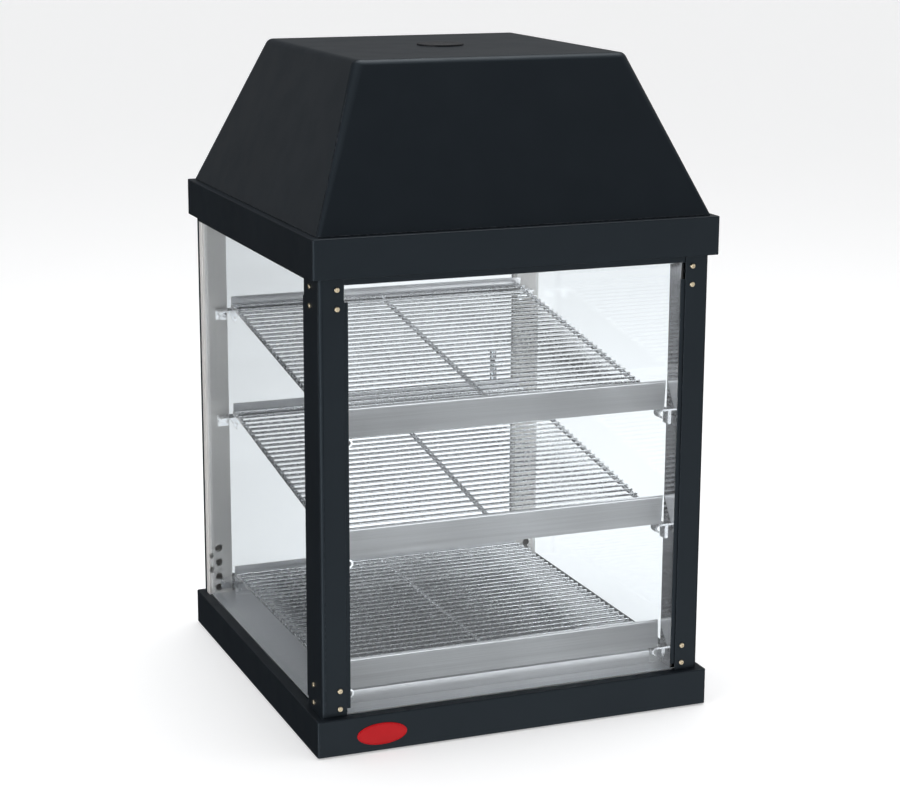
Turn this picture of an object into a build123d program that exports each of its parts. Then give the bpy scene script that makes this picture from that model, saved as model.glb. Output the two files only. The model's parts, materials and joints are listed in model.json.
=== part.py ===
from build123d import *
import os
from math import atan2, ceil, cos, degrees, radians, sin, sqrt, tan

# Countertop hot food display case, millimetres.
# Origin: centre of the footprint on the counter.
# +X right along the wide front, +Y to the service side, +Z up.

# ---- driving dimensions ----
WIDTH = 457.2                  # across the base and the header band
DEPTH = 478.2                  # front to back across the base and the header band
BASE_TOP = 42.2                # top of the base skirt
HEADER_BOTTOM = 511.8
HEADER_TOP = 553.5
HOOD_TOP = 722.5
HOOD_TOP_HALF = (153.9, 156.1)  # half width and half depth of the hood's flat top
HOOD_INSET = 7.5               # the hood's foot stands this far in from the header's edge

PLUG_R = 26.0                  # head of the blanking plug in the hood's top
PLUG_HEAD = 2.0
PLUG_HOLE_R = 22.0
SEAM_SETBACK = 5.0             # the hood's corner seams lie this far round the side faces
SEAM_WIDTH = 1.0
SEAM_DEPTH = 0.8

SHEET = 1.5                    # black folded steel
LINER = 1.0                    # polished stainless
POST_INSET = 8.0               # post faces stand this far in from the base's edge
POST_FRONT_LEG = 27.5          # front posts, leg along the front
POST_SIDE_LEG = 48.0           # front posts, leg along the side
POST_REAR_LEG = 34.0           # rear posts, leg along the back
POST_REAR_SIDE_LEG = 6.0       # rear posts, narrow return along the side
FOOT_LIFT = 2.0                # gap under the base skirt

COLUMN_FRONT = (190.5, 212.9, -223.4, -198.0)   # x and y limits of a front liner column
COLUMN_REAR = (187.2, 219.1, 213.5, 229.6)      # x and y limits of a rear liner column

GLASS = 4.0
STRIP = 2.0
LINTEL_BOTTOM = 504.0
GLASS_BOTTOM = 42.6
GLASS_TOP = 503.6

DOOR_GLASS = 5.0
DOOR_HALF = 185.5              # half width of the door glass
DOOR_Y = 224.0                 # mid-plane of the door glass, and the pivot line
DOOR_PIVOT_X = -179.0
DOOR_BOTTOM = 47.0
DOOR_TOP = 500.0
HANDLE_X = 166.0
HANDLE_Z = (245.0, 305.0)      # the pull's two studs
PIN_R = 2.0
PIN_CLEARANCE = 0.06
BUSH_R = 3.4

SHELF_FRONT_Y = -205.0         # bottom front edge of every shelf rail
SHELF_LENGTH = 412.0
SHELF_HALF = 189.2             # half width of the rails at their top
RAIL_CUTBACK = 5.0             # the rails' ends slope inward towards the bottom
SHELF_SHEET = 1.2
SHELVES = {"top": (338.0, 8.8), "middle": (207.0, 8.8), "bottom": (62.5, 0.0)}  # height, tilt
RAIL_LEAN = 23.0               # the rail leans back from the shelf's normal
RAIL_FACE = 29.5
ROD_R = 2.5
CROSS_ROD_R = 2.2
WIRE_R = 1.5
WELD_SINK = 0.6                # a wire is welded this far into the rods under it
WIRE_PITCH = 12.7
ROD_X = 184.0
REST_GAP = 0.3                 # air between a shelf and the clip under it

FAN_Y = 10.0                   # fan axis
FAN_R = 70.0
ELEMENT_R = 95.0               # heating ring round the fan
ELEMENT_TUBE = 4.0
ELEMENT_Z = 530.0
ELEMENT_LEGS = (-14.0, 14.0)
SHAFT_R = 3.0
SHAFT_CLEARANCE = 0.05
LAMP_Y = -140.0

CONTROL_HEIGHT = 622.0         # middle of the control plate
ROCKER_X = -62.0               # places across the control plate, seen from the service side
PILOT_X = -20.0
KNOB_X = 48.0
ROCKER_THROW = 20.0            # degrees between the rocker's two positions

# ---- sizes that follow ----
HALF_W = WIDTH / 2
HALF_D = DEPTH / 2
POST_X = HALF_W - POST_INSET
POST_Y = HALF_D - POST_INSET
PANE_Y = POST_Y - SHEET - STRIP        # outer face of the front pane
PANE_X = POST_X - SHEET - STRIP        # outer face of a side pane
DECK_TOP = BASE_TOP + 1.2
PLENUM_TOP = 548.5
PLATE_TOP = HEADER_BOTTOM + SHEET      # top of the header's lower flange
HOOD_FOOT = HEADER_TOP + 1.2           # the hood's sloping sides start here, above a shadow gap
HOOD_FOOT_HALF = (HALF_W - HOOD_INSET, HALF_D - HOOD_INSET)
HOOD_RISE = HOOD_TOP - HOOD_FOOT
BACK_SLOPE = (HOOD_FOOT_HALF[1] - HOOD_TOP_HALF[1]) / HOOD_RISE
BACK_ANGLE = atan2(HOOD_FOOT_HALF[1] - HOOD_TOP_HALF[1], HOOD_RISE)
CORNERS = [(-1, -1), (1, -1), (-1, 1), (1, 1)]
ROD_V = SHELF_SHEET + 0.1 + ROD_R      # rod centres above a shelf's underside
WIRE_V = ROD_V + ROD_R + WIRE_R - WELD_SINK
SCREW_HEIGHTS = (51.0, 71.0, 480.0, 500.0)
SCREW_X = 201.0                # screws on the front and back faces of the posts
SCREW_Y = 202.5                # screws on the side faces of the front posts


def block(x0, x1, y0, y1, z0, z1):
    """Box from its limits along each axis."""
    return Pos((x0 + x1) / 2, (y0 + y1) / 2, (z0 + z1) / 2) * Box(x1 - x0, y1 - y0, z1 - z0)


def ring(half_x, half_y, wide, z0, z1):
    """Flat rectangular ring, wide measured inward from the half sizes."""
    outer = block(-half_x, half_x, -half_y, half_y, z0, z1)
    return outer - block(wide - half_x, half_x - wide, wide - half_y, half_y - wide, z0, z1)


def post_to(x0, x1, y0, y1, z0, z1, sx, sy):
    """Box given in the +X +Y quarter, moved to the corner with signs sx and sy."""
    xs = sorted((sx * x0, sx * x1))
    ys = sorted((sy * y0, sy * y1))
    return block(xs[0], xs[1], ys[0], ys[1], z0, z1)


def rod(x, y, z0, z1, radius):
    """Upright cylinder between two heights."""
    return Pos(x, y, (z0 + z1) / 2) * Cylinder(radius, z1 - z0)


def extruded_yz(points, x0, x1):
    """Outline in the YZ plane, extruded from x0 to x1."""
    face = make_face(Polyline(*[(x0, y, z) for y, z in points], close=True))
    return extrude(face, amount=x1 - x0, dir=(1, 0, 0))


def hood_back_plane(z):
    """Plane on the hood's rear face: X to the viewer's right, Y up the slope, Z out."""
    y = HOOD_FOOT_HALF[1] - (z - HOOD_FOOT) * BACK_SLOPE
    return Plane(origin=(0, y, z), x_dir=(-1, 0, 0), z_dir=(0, cos(BACK_ANGLE), sin(BACK_ANGLE)))


def on_panel(x, y=0.0):
    """Location on the control plate."""
    return hood_back_plane(CONTROL_HEIGHT) * Pos(x, y, 0)


def screw_places():
    """Every post screw as a plane whose Z points out of the post, with its post's signs."""
    places = []
    for sx, sy in CORNERS:
        for z in SCREW_HEIGHTS:
            front = Plane(origin=(sx * SCREW_X, sy * POST_Y, z), x_dir=(1, 0, 0), z_dir=(0, sy, 0))
            places.append((sx, sy, front))
            if sy < 0:
                side = Plane(origin=(sx * POST_X, -SCREW_Y, z), x_dir=(0, 1, 0), z_dir=(sx, 0, 0))
                places.append((sx, sy, side))
    return places


def screw_holes(sx, sy):
    """Clearance holes of one post's screws."""
    planes = [plane for px, py, plane in screw_places() if (px, py) == (sx, sy)]
    return [plane * Pos(0, 0, -6) * Cylinder(1.6, 14) for plane in planes]


# ---- base ----
def base_skirt():
    outer = block(-HALF_W, HALF_W, -HALF_D, HALF_D, FOOT_LIFT, BASE_TOP)
    outer = fillet(outer.edges().filter_by(Axis.Z), 3.0)
    outer = fillet(outer.faces().sort_by(Axis.Z)[-1].edges(), 1.2)
    in_x, in_y = HALF_W - SHEET, HALF_D - SHEET
    cavity = block(-in_x, in_x, -in_y, in_y, FOOT_LIFT + SHEET, BASE_TOP - SHEET)
    top = block(38 - HALF_W, HALF_W - 38, 40 - HALF_D, HALF_D - 40, BASE_TOP - 10, BASE_TOP + 1)
    bottom = block(14 - HALF_W, HALF_W - 14, 14 - HALF_D, HALF_D - 14, FOOT_LIFT - 1, FOOT_LIFT + 3)
    return outer - cavity - top - bottom - rod(DOOR_PIVOT_X, DOOR_Y, BASE_TOP - 4, BASE_TOP + 1, BUSH_R)


def base_plate():
    z0 = FOOT_LIFT + SHEET
    plate = block(-HALF_W + 2, HALF_W - 2, -HALF_D + 2, HALF_D - 2, z0, z0 + 1.2)
    for row in range(-3, 4):
        for side in (-1, 1):
            plate -= Pos(side * 80, row * 24, z0) * extrude(SlotOverall(70, 6), amount=8, both=True)
    return plate


def base_feet():
    foot = Pos(0, 0, 1.75) * Cone(11, 12.5, 3.5) - Pos(0, 0, 0.6) * Cylinder(4, 1.2)
    return [Pos(sx * 188, sy * 200, 0) * foot for sx, sy in CORNERS]


def deck_pan():
    x1 = COLUMN_FRONT[1]
    pan = block(-x1, x1, COLUMN_FRONT[2], COLUMN_REAR[2] - 0.3, BASE_TOP, DECK_TOP)
    return pan + block(-186.9, 186.9, 210, 217.5, BASE_TOP, DECK_TOP)


def deck_sills():
    """Upstands that close the deck under the bottom shelf, front and back."""
    front_top = SHELVES["bottom"][0] - 4.3
    front = block(-186, 186, -200, -198.8, DECK_TOP, front_top)
    front += block(-186, 186, -200, -184, front_top - 1.2, front_top)
    front += block(-186, 186, -200, -186, DECK_TOP, DECK_TOP + 1.2)
    for side in (-1, 1):
        front -= post_to(176.5, 187, 183, 201, DECK_TOP + 1.2, front_top + 1, side, -1)
    rear = block(-186, 186, 203.8, 205, DECK_TOP, 57.0)
    rear += block(-186, 186, 195, 205, DECK_TOP, DECK_TOP + 1.2)
    return [front, rear]


# ---- posts, liner columns and glazing ----
def post(sx, sy):
    leg_x = POST_FRONT_LEG if sy < 0 else POST_REAR_LEG
    leg_y = POST_SIDE_LEG if sy < 0 else POST_REAR_SIDE_LEG
    outer = block(POST_X - leg_x, POST_X, POST_Y - leg_y, POST_Y, BASE_TOP, HEADER_BOTTOM)
    corner = outer.edges().filter_by(Axis.Z).sort_by(lambda e: e.center().X + e.center().Y)[-1]
    outer = fillet(corner, 4.5)
    inner = block(
        POST_X - leg_x - 5, POST_X - SHEET, POST_Y - leg_y - 5, POST_Y - SHEET, BASE_TOP - 1, HEADER_BOTTOM + 1
    )
    corner = inner.edges().filter_by(Axis.Z).sort_by(lambda e: e.center().X + e.center().Y)[-1]
    angle = outer - fillet(corner, 3.0)
    if sx < 0:
        angle = angle.mirror(Plane.YZ)
    if sy < 0:
        angle = angle.mirror(Plane.XZ)
    return angle - screw_holes(sx, sy)


def rounded_duct(duct, sy, radius):
    """Round the upright edge that fits into the bend of the post."""
    edges = duct.edges().filter_by(Axis.Z).sort_by(lambda e: e.center().X + sy * e.center().Y)
    return fillet(edges[-1], radius)


def column(sx, sy):
    """Hollow stainless duct inside a post, with air outlets at its foot."""
    x0, x1, y0, y1 = COLUMN_FRONT if sy < 0 else COLUMN_REAR
    z0 = DECK_TOP if sy < 0 else BASE_TOP
    duct = rounded_duct(block(x0, x1, y0, y1, z0, LINTEL_BOTTOM), sy, 3.5)
    inside = block(x0 + LINER, x1 - LINER, y0 + LINER, y1 - LINER, z0 - 1, LINTEL_BOTTOM + 1)
    duct -= rounded_duct(inside, sy, 2.5)
    face_y = y1 if sy < 0 else y0
    for dx, heights in ((205.2, (50.4, 64.4, 82.4, 100.4)), (215.8, (73.4, 91.4))):
        x = dx - (1.5 if sy > 0 else 6.5)
        for z in heights:
            duct -= Pos(x, face_y, z) * Rot(90, 0, 0) * Cylinder(4.4, 4)
    if sx < 0:
        duct = duct.mirror(Plane.YZ)
    return duct - screw_holes(sx, sy)


def post_screws():
    head = Pos(0, 0, 0.8) * Cylinder(2.9, 1.6)
    head = fillet(head.faces().sort_by(Axis.Z)[-1].edges(), 0.9)
    head -= Pos(0, 0, 1.5) * Box(3.6, 0.8, 1.4)
    head -= Pos(0, 0, 1.5) * Box(0.8, 3.6, 1.4)
    screw = head + Pos(0, 0, -4.5) * Cylinder(1.5, 9)
    return [plane * screw for sx, sy, plane in screw_places()]


def glass_strips():
    """Black bars that clamp the pane edges behind the post legs."""
    strips = []
    z0, z1 = 50.0, 486.0
    for sx in (-1, 1):
        strips.append(post_to(188.6, 197.0, PANE_Y, PANE_Y + STRIP, z0, z1, sx, -1))
        strips.append(post_to(PANE_X, PANE_X + STRIP, 175.0, 194.0, z0, z1, sx, -1))
    return strips


def glass_front():
    pane = block(-197.0, 197.0, -PANE_Y, GLASS - PANE_Y, GLASS_BOTTOM, GLASS_TOP)
    return chamfer(pane.edges().filter_by(Axis.Z), 0.4)


def glass_side(sx):
    pane = post_to(PANE_X - GLASS, PANE_X, -194.0, 213.3, GLASS_BOTTOM, GLASS_TOP, sx, 1)
    return chamfer(pane.edges().filter_by(Axis.Z), 0.4)


# ---- header, ceiling and hood ----
def air_ports(z0, z1):
    """Openings over the four liner columns."""
    ports = []
    for sx in (-1, 1):
        ports.append(post_to(193, 210.4, 200.5, 220.9, z0, z1, sx, -1))
        ports.append(post_to(190, 216.5, 216, 226.5, z0, z1, sx, 1))
    return ports


def header_band():
    band = block(-HALF_W, HALF_W, -HALF_D, HALF_D, HEADER_BOTTOM, HEADER_TOP)
    band = fillet(band.edges().filter_by(Axis.Z), 3.0)
    band = fillet(band.faces().sort_by(Axis.Z)[-1].edges(), 1.2)
    band = fillet(band.faces().sort_by(Axis.Z)[0].edges(), 0.8)
    in_x, in_y = HALF_W - SHEET, HALF_D - SHEET
    band -= block(-in_x, in_x, -in_y, in_y, PLATE_TOP, HEADER_TOP - SHEET)
    band -= block(46 - HALF_W, HALF_W - 46, 46 - HALF_D, HALF_D - 46, HEADER_BOTTOM - 1, HEADER_BOTTOM + 3)
    band -= block(24 - HALF_W, HALF_W - 24, 24 - HALF_D, HALF_D - 24, HEADER_TOP - 3, HEADER_TOP + 1)
    return band - air_ports(HEADER_BOTTOM - 1, HEADER_BOTTOM + 3)


def lintel_frame():
    """Folded channel frame between the posts' tops and the header."""
    x1, y1 = POST_X - SHEET, POST_Y - SHEET
    frame = block(-x1, x1, -y1, y1, LINTEL_BOTTOM, HEADER_BOTTOM)
    frame = fillet(frame.edges().filter_by(Axis.Z), 3.5)
    frame -= block(-186, 186, -195, 195, LINTEL_BOTTOM - 1, HEADER_BOTTOM + 1)
    hollow = block(SHEET - x1, x1 - SHEET, SHEET - y1, y1 - SHEET, LINTEL_BOTTOM + SHEET, HEADER_BOTTOM + 1)
    hollow -= block(-186 - SHEET, 186 + SHEET, -195 - SHEET, 195 + SHEET, 500, 520)
    frame -= hollow
    frame -= air_ports(LINTEL_BOTTOM - 1, LINTEL_BOTTOM + 3)
    return frame - rod(DOOR_PIVOT_X, DOOR_Y, LINTEL_BOTTOM - 1, LINTEL_BOTTOM + 3, BUSH_R)


def ceiling_panel():
    x1, y1, z0 = 185.8, 194.8, LINTEL_BOTTOM + 0.5
    tray = block(-x1, x1, -y1, y1, z0, HEADER_BOTTOM)
    tray -= block(LINER - x1, x1 - LINER, LINER - y1, y1 - LINER, z0 + LINER, HEADER_BOTTOM + 1)
    for row in range(-4, 5):
        chord = 2 * sqrt(47.0 ** 2 - (row * 10.0) ** 2)
        tray -= Pos(0, FAN_Y + row * 10, z0) * extrude(SlotOverall(chord, 5), amount=4, both=True)
    return tray - rod(0, LAMP_Y, z0 - 1, z0 + 3, 25)


def plenum_cover():
    x1, y1 = POST_X - 2, POST_Y - 2.1
    cover = block(-x1, x1, -y1, y1, PLATE_TOP, PLENUM_TOP)
    cover -= block(LINER - x1, x1 - LINER, LINER - y1, y1 - LINER, PLATE_TOP - 1, PLENUM_TOP - LINER)
    cover -= rod(0, FAN_Y, PLENUM_TOP - 5, PLENUM_TOP + 5, 9)
    for x in ELEMENT_LEGS:
        cover -= rod(x, FAN_Y - ELEMENT_R, PLENUM_TOP - 5, PLENUM_TOP + 5, ELEMENT_TUBE + 0.3)
    return cover


def pyramid(inset, z_top, edge_r):
    """Sloping hood form, its sides moved in by inset, with rounded top edges."""
    foot = [half - inset for half in HOOD_FOOT_HALF]
    drop = HOOD_TOP - z_top
    tops = []
    for low, high in zip(HOOD_FOOT_HALF, HOOD_TOP_HALF):
        tops.append(high + drop * (low - high) / HOOD_RISE - inset)
    lower = Pos(0, 0, HOOD_FOOT) * RectangleRounded(2 * foot[0], 2 * foot[1], 3.5 - inset)
    upper = Pos(0, 0, z_top) * RectangleRounded(2 * tops[0], 2 * tops[1], edge_r + 1.5)
    solid = loft([lower, upper])
    return fillet(solid.faces().sort_by(Axis.Z)[-1].edges(), edge_r)


def seam_groove(sx, sy):
    """Groove on a side face, where the panel wrapped round the corner stops."""
    low = Vector(sx * HOOD_FOOT_HALF[0], sy * HOOD_FOOT_HALF[1], HOOD_FOOT)
    high = Vector(sx * HOOD_TOP_HALF[0], sy * HOOD_TOP_HALF[1], HOOD_TOP)
    edge = high - low
    lean = atan2(HOOD_FOOT_HALF[0] - HOOD_TOP_HALF[0], HOOD_RISE)
    start = low + Vector(0, -sy * SEAM_SETBACK, 0)
    along = Plane(origin=start, x_dir=(sx * cos(lean), 0, sin(lean)), z_dir=edge)
    return along * Pos(0, 0, edge.length / 2 - 6) * Box(2 * SEAM_DEPTH, SEAM_WIDTH, edge.length)


def hood():
    shell = pyramid(0, HOOD_TOP, 9.0) - pyramid(SHEET, HOOD_TOP - SHEET, 7.5)
    shell -= [seam_groove(sx, sy) for sx, sy in CORNERS]
    foot_x, foot_y = HOOD_FOOT_HALF[0] - 0.9, HOOD_FOOT_HALF[1] - 0.9
    shell += ring(foot_x, foot_y, 12, HEADER_TOP, HOOD_FOOT + 1.0)
    shell -= rod(0, 0, HOOD_TOP - 4, HOOD_TOP + 1, PLUG_HOLE_R)
    shell -= on_panel(ROCKER_X) * Box(21.4, 27.4, 8)
    shell -= on_panel(PILOT_X) * Cylinder(5.2, 8)
    shell -= on_panel(KNOB_X) * Cylinder(5.2, 8)
    return shell - gland_place() * Cylinder(8.2, 8)


def hood_plug():
    """Snap-in blanking plug: a low round head over the hole in the hood's top."""
    head = rod(0, 0, HOOD_TOP, HOOD_TOP + PLUG_HEAD, PLUG_R)
    head = fillet(head.faces().sort_by(Axis.Z)[-1].edges(), 0.7)
    body = rod(0, 0, HOOD_TOP - 7, HOOD_TOP, PLUG_HOLE_R - 0.2)
    barb = rod(0, 0, HOOD_TOP - 4, HOOD_TOP - SHEET, PLUG_HOLE_R + 0.8)
    return head + body + barb - rod(0, 0, HOOD_TOP - 8, HOOD_TOP - 1, PLUG_HOLE_R - 1.8)


# ---- heating and air ----
def heating_element():
    """Open ring of tube round the fan, with two legs up to the terminals."""
    half_gap = degrees(atan2(ELEMENT_LEGS[1], ELEMENT_R))
    radius = sqrt(ELEMENT_R ** 2 + ELEMENT_LEGS[1] ** 2)
    profile = Pos(radius, 0, 0) * Rot(90, 0, 0) * Circle(ELEMENT_TUBE)
    arc = revolve(profile, Axis.Z, 360 - 2 * half_gap)
    tube = Pos(0, FAN_Y, ELEMENT_Z) * Rot(0, 0, half_gap - 90) * arc
    for x in ELEMENT_LEGS:
        tube += Pos(x, FAN_Y - ELEMENT_R, ELEMENT_Z) * Sphere(ELEMENT_TUBE)
        tube += rod(x, FAN_Y - ELEMENT_R, ELEMENT_Z, PLENUM_TOP + 12, ELEMENT_TUBE)
        tube += rod(x, FAN_Y - ELEMENT_R, PLENUM_TOP + 12, PLENUM_TOP + 20, 1.5)
    return tube


def element_brackets():
    """Hangers from the plenum cover that hold the ring."""
    radius = sqrt(ELEMENT_R ** 2 + ELEMENT_LEGS[1] ** 2)
    hanger = block(radius - 8, radius + 8, -0.75, 0.75, ELEMENT_Z - 7, PLENUM_TOP - LINER)
    hanger -= Pos(radius, 0, ELEMENT_Z) * Rot(90, 0, 0) * Cylinder(ELEMENT_TUBE + 0.05, 4)
    hanger += block(radius - 8, radius + 8, -0.75, 9, PLENUM_TOP - LINER - 1.2, PLENUM_TOP - LINER)
    return [Pos(0, FAN_Y, 0) * Rot(0, 0, angle) * hanger for angle in (0, 90, 180)]


def inlet_ring():
    """Bell that leads cabin air into the fan wheel."""
    z0 = LINTEL_BOTTOM + 0.5 + LINER
    bell = Pos(0, FAN_Y, z0 + 5.5) * (Cone(58, 47, 11) - Cone(56.8, 45.8, 11))
    return bell + Pos(0, FAN_Y, z0 + 0.6) * (Cylinder(66, 1.2) - Cylinder(56.5, 1.2))


def fan_wheel():
    z0, z1 = 519.5, 543.0
    wheel = rod(0, 0, z1 - 1.5, z1, FAN_R)
    wheel += rod(0, 0, z0, z0 + 1.5, FAN_R) - rod(0, 0, z0 - 1, z0 + 2, 52)
    wheel += rod(0, 0, z0 + 6, z1, 11)
    wheel -= rod(0, 0, z0, z1 + 1, SHAFT_R)
    blade = Pos(60.5, 0, (z0 + z1) / 2) * Rot(0, 0, 35) * Box(17, 1.2, z1 - z0 - 2)
    for index in range(20):
        wheel += Rot(0, 0, index * 18) * blade
    return Pos(0, FAN_Y, 0) * wheel


def fan_shaft():
    return chamfer(rod(0, FAN_Y, 525.5, 606, SHAFT_R).edges(), 0.4)


def motor_mount():
    z0, z1 = PLENUM_TOP, PLENUM_TOP + 14
    plate = block(-52, 52, FAN_Y - 24, FAN_Y + 24, z1 - 1.5, z1)
    for sx in (-1, 1):
        plate += post_to(50.5, 52, FAN_Y - 24, FAN_Y + 24, z0, z1, sx, 1)
        plate += post_to(50.5, 66, FAN_Y - 24, FAN_Y + 24, z0, z0 + 1.5, sx, 1)
    return plate - rod(0, FAN_Y, z0, z1 + 1, 9)


def fan_motor():
    z0 = PLENUM_TOP + 14
    stack = block(-38, 38, FAN_Y - 24, FAN_Y + 24, z0 + 8, z0 + 30)
    motor = fillet(stack.edges().filter_by(Axis.Z), 5)
    motor += rod(0, FAN_Y, z0, z0 + 8, 20) + rod(0, FAN_Y, z0 + 30, z0 + 40, 17)
    motor += fillet(block(16, 48, FAN_Y - 20, FAN_Y + 20, z0 + 4, z0 + 34).edges().filter_by(Axis.X), 5)
    return motor - rod(0, FAN_Y, z0 - 1, z0 + 45, SHAFT_R + SHAFT_CLEARANCE)


def limit_switch():
    """Over-temperature cut-out on the plenum cover."""
    body = rod(-110, 60, PLENUM_TOP, PLENUM_TOP + 1, 12) + rod(-110, 60, PLENUM_TOP + 1, PLENUM_TOP + 11, 8)
    for x in (-114, -106):
        body += block(x - 0.4, x + 0.4, 57, 63, PLENUM_TOP + 11, PLENUM_TOP + 19)
    return body


def terminal_block():
    body = block(96, 124, -95, -35, PLENUM_TOP, PLENUM_TOP + 16)
    for index in range(5):
        y = -89 + index * 12
        body -= block(95, 102, y - 4, y + 4, PLENUM_TOP + 6, PLENUM_TOP + 17)
        body -= block(118, 125, y - 4, y + 4, PLENUM_TOP + 6, PLENUM_TOP + 17)
        body -= rod(110, y, PLENUM_TOP + 8, PLENUM_TOP + 17, 2.4)
    return body


def lamp_holder():
    holder = rod(0, LAMP_Y, 528, PLENUM_TOP - LINER, 14)
    holder += rod(0, LAMP_Y, PLENUM_TOP - LINER - 2, PLENUM_TOP - LINER, 20)
    return holder - rod(0, LAMP_Y, 527, 542, 10)


def lamp_bulb():
    globe = Pos(0, LAMP_Y, 509) * Sphere(19)
    return globe + rod(0, LAMP_Y, 518, 542, 9.9)


# ---- controls on the hood's back ----
def control_plate():
    plate = Box(188, 56, 1.0)
    plate = fillet(plate.edges().filter_by(Axis.Z), 5)
    plate -= Pos(ROCKER_X, 0, 0) * Box(21.4, 27.4, 4)
    plate -= Pos(PILOT_X, 0, 0) * Cylinder(5.2, 4)
    plate -= Pos(KNOB_X, 0, 0) * Cylinder(5.2, 4)
    for x in (-86, 86):
        plate += Pos(x, 0, 0.9) * Cylinder(3, 1.2)
    return on_panel(0) * Pos(0, 0, 0.5) * plate


def thermostat_body():
    """Regulator on the inside of the hood, its threaded neck through the plate."""
    body = Pos(0, 0, -15.6) * fillet(Box(40, 36, 28).edges().filter_by(Axis.Z), 3)
    body += Pos(0, 0, 0.5) * Cylinder(5, 5)
    body += Pos(0, 0, 2.1) * extrude(RegularPolygon(7.2, 6), amount=1.1, both=True)
    for x in (-12, 0, 12):
        body += Pos(x, -8, -33) * Box(6, 0.8, 8)
    return on_panel(KNOB_X) * (body - Cylinder(SHAFT_R + SHAFT_CLEARANCE, 60))


def thermostat_shaft():
    return on_panel(KNOB_X) * Pos(0, 0, 1.5) * Cylinder(SHAFT_R, 29)


def thermostat_knob():
    knob = Pos(0, 0, 5.2) * Cylinder(18, 3.0) + Pos(0, 0, 11.6) * Cylinder(14.5, 10)
    top = knob.faces().sort_by(Axis.Z)[-1]
    knob = fillet(top.edges(), 1.5)
    for index in range(18):
        knob -= Rot(0, 0, index * 20 + 10) * Pos(15.1, 0, 12.5) * Cylinder(1.3, 10)
    knob += Pos(0, 9.5, 16.6) * Box(1.8, 9, 0.8)
    return on_panel(KNOB_X) * (knob - Pos(0, 0, 9) * Cylinder(SHAFT_R, 14))


def rocker_housing():
    bezel = fillet(Box(25, 31, 2).edges().filter_by(Axis.Z), 2.5)
    body = Pos(0, 0, 2) * bezel + Pos(0, 0, -9) * Box(21, 27, 20)
    body -= Pos(0, 0, -3) * Box(17, 23.4, 20)
    for y in (-8, 0, 8):
        body += Pos(0, y, -22.5) * Box(6, 0.8, 7)
    return on_panel(ROCKER_X) * body


def rocker_button():
    """Two-faced button on a cross pivot, shown with its lower end pressed in."""
    outline = Polyline((-10.5, 2.6), (0, 0.6), (10.5, 2.6), (9.5, -5.5), (-9.5, -5.5), close=True)
    face = make_face(Plane.YZ * outline)
    button = extrude(face, amount=8.2, both=True)
    return rocker_place() * Rot(ROCKER_THROW / 2, 0, 0) * button


def rocker_place():
    """Pivot line of the rocker button."""
    return on_panel(ROCKER_X) * Pos(0, 0, 2.2)


def pilot_lamp():
    lens = Pos(0, 0, 2.5) * Cylinder(6.5, 3)
    lens = fillet(lens.faces().sort_by(Axis.Z)[-1].edges(), 2.0)
    return on_panel(PILOT_X) * (lens + Pos(0, 0, -8) * Cylinder(5, 18))


def gland_place():
    return hood_back_plane(580.0) * Pos(150, 0, 0)


def cord_gland():
    """Inlet bush for a supply lead, left empty."""
    bush = Pos(0, 0, 1.2) * Cylinder(11, 2.4) + Pos(0, 0, 6) * Cone(8.5, 6.5, 8)
    bush += Pos(0, 0, -5) * Cylinder(8, 10)
    bush += Pos(0, 0, -5) * (Cylinder(11, 5) - Cylinder(8, 5))
    return gland_place() * (bush - Cylinder(4.2, 60))


# ---- service door ----
def door_glass():
    y0, y1 = DOOR_Y - DOOR_GLASS / 2, DOOR_Y + DOOR_GLASS / 2
    pane = block(-DOOR_HALF, DOOR_HALF, y0, y1, DOOR_BOTTOM, DOOR_TOP)
    for z in HANDLE_Z:
        pane -= Pos(HANDLE_X, DOOR_Y, z) * Rot(90, 0, 0) * Cylinder(2.6, 10)
    return pane


def hinge_shoe():
    """Clamp over a corner of the door glass, with its pivot pin, drawn for the top corner."""
    cheek = DOOR_GLASS / 2 + 2.2
    slot = DOOR_GLASS / 2
    shoe = block(-5.5, 18, -cheek, cheek, DOOR_TOP - 15, DOOR_TOP + 2.2)
    shoe -= block(-9, 20, -slot, slot, DOOR_TOP - 16, DOOR_TOP)
    return Pos(DOOR_PIVOT_X, DOOR_Y, 0) * (shoe + rod(0, 0, DOOR_TOP + 1, DOOR_TOP + 8, PIN_R))


def door_hinges():
    """The lower shoe is the upper one turned over."""
    upper = hinge_shoe()
    mid_z = (DOOR_TOP + DOOR_BOTTOM) / 2
    lower = upper.mirror(Plane(origin=(0, 0, mid_z), z_dir=(0, 0, 1)))
    return [upper, lower]


def hinge_bushes():
    bore = PIN_R + PIN_CLEARANCE
    upper = rod(0, 0, DOOR_TOP + 2.5, LINTEL_BOTTOM, 5) + rod(0, 0, 503, 509, BUSH_R)
    lower = rod(0, 0, BASE_TOP, DOOR_BOTTOM - 2.5, 5) + rod(0, 0, 38, 43, BUSH_R)
    place = Pos(DOOR_PIVOT_X, DOOR_Y, 0)
    return [place * (upper - rod(0, 0, 490, 520, bore)), place * (lower - rod(0, 0, 30, 60, bore))]


def door_handle():
    """Low bar pull on two studs through the glass."""
    outer_y = DOOR_Y + DOOR_GLASS / 2
    inner_y = DOOR_Y - DOOR_GLASS / 2
    bar_y = outer_y + 13
    bar = Pos(HANDLE_X, bar_y, sum(HANDLE_Z) / 2) * Cylinder(4, HANDLE_Z[1] - HANDLE_Z[0] + 24)
    bar = fillet(bar.edges(), 1.5)
    for z in HANDLE_Z:
        stud = Pos(HANDLE_X, (outer_y + bar_y) / 2, z) * Rot(90, 0, 0) * Cylinder(3.5, bar_y - outer_y)
        shank = Pos(HANDLE_X, DOOR_Y, z) * Rot(90, 0, 0) * Cylinder(2.3, 8)
        nut = Pos(HANDLE_X, inner_y - 1.5, z) * Rot(90, 0, 0) * Cylinder(6, 3)
        bar += stud + shank + nut
    return bar


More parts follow.
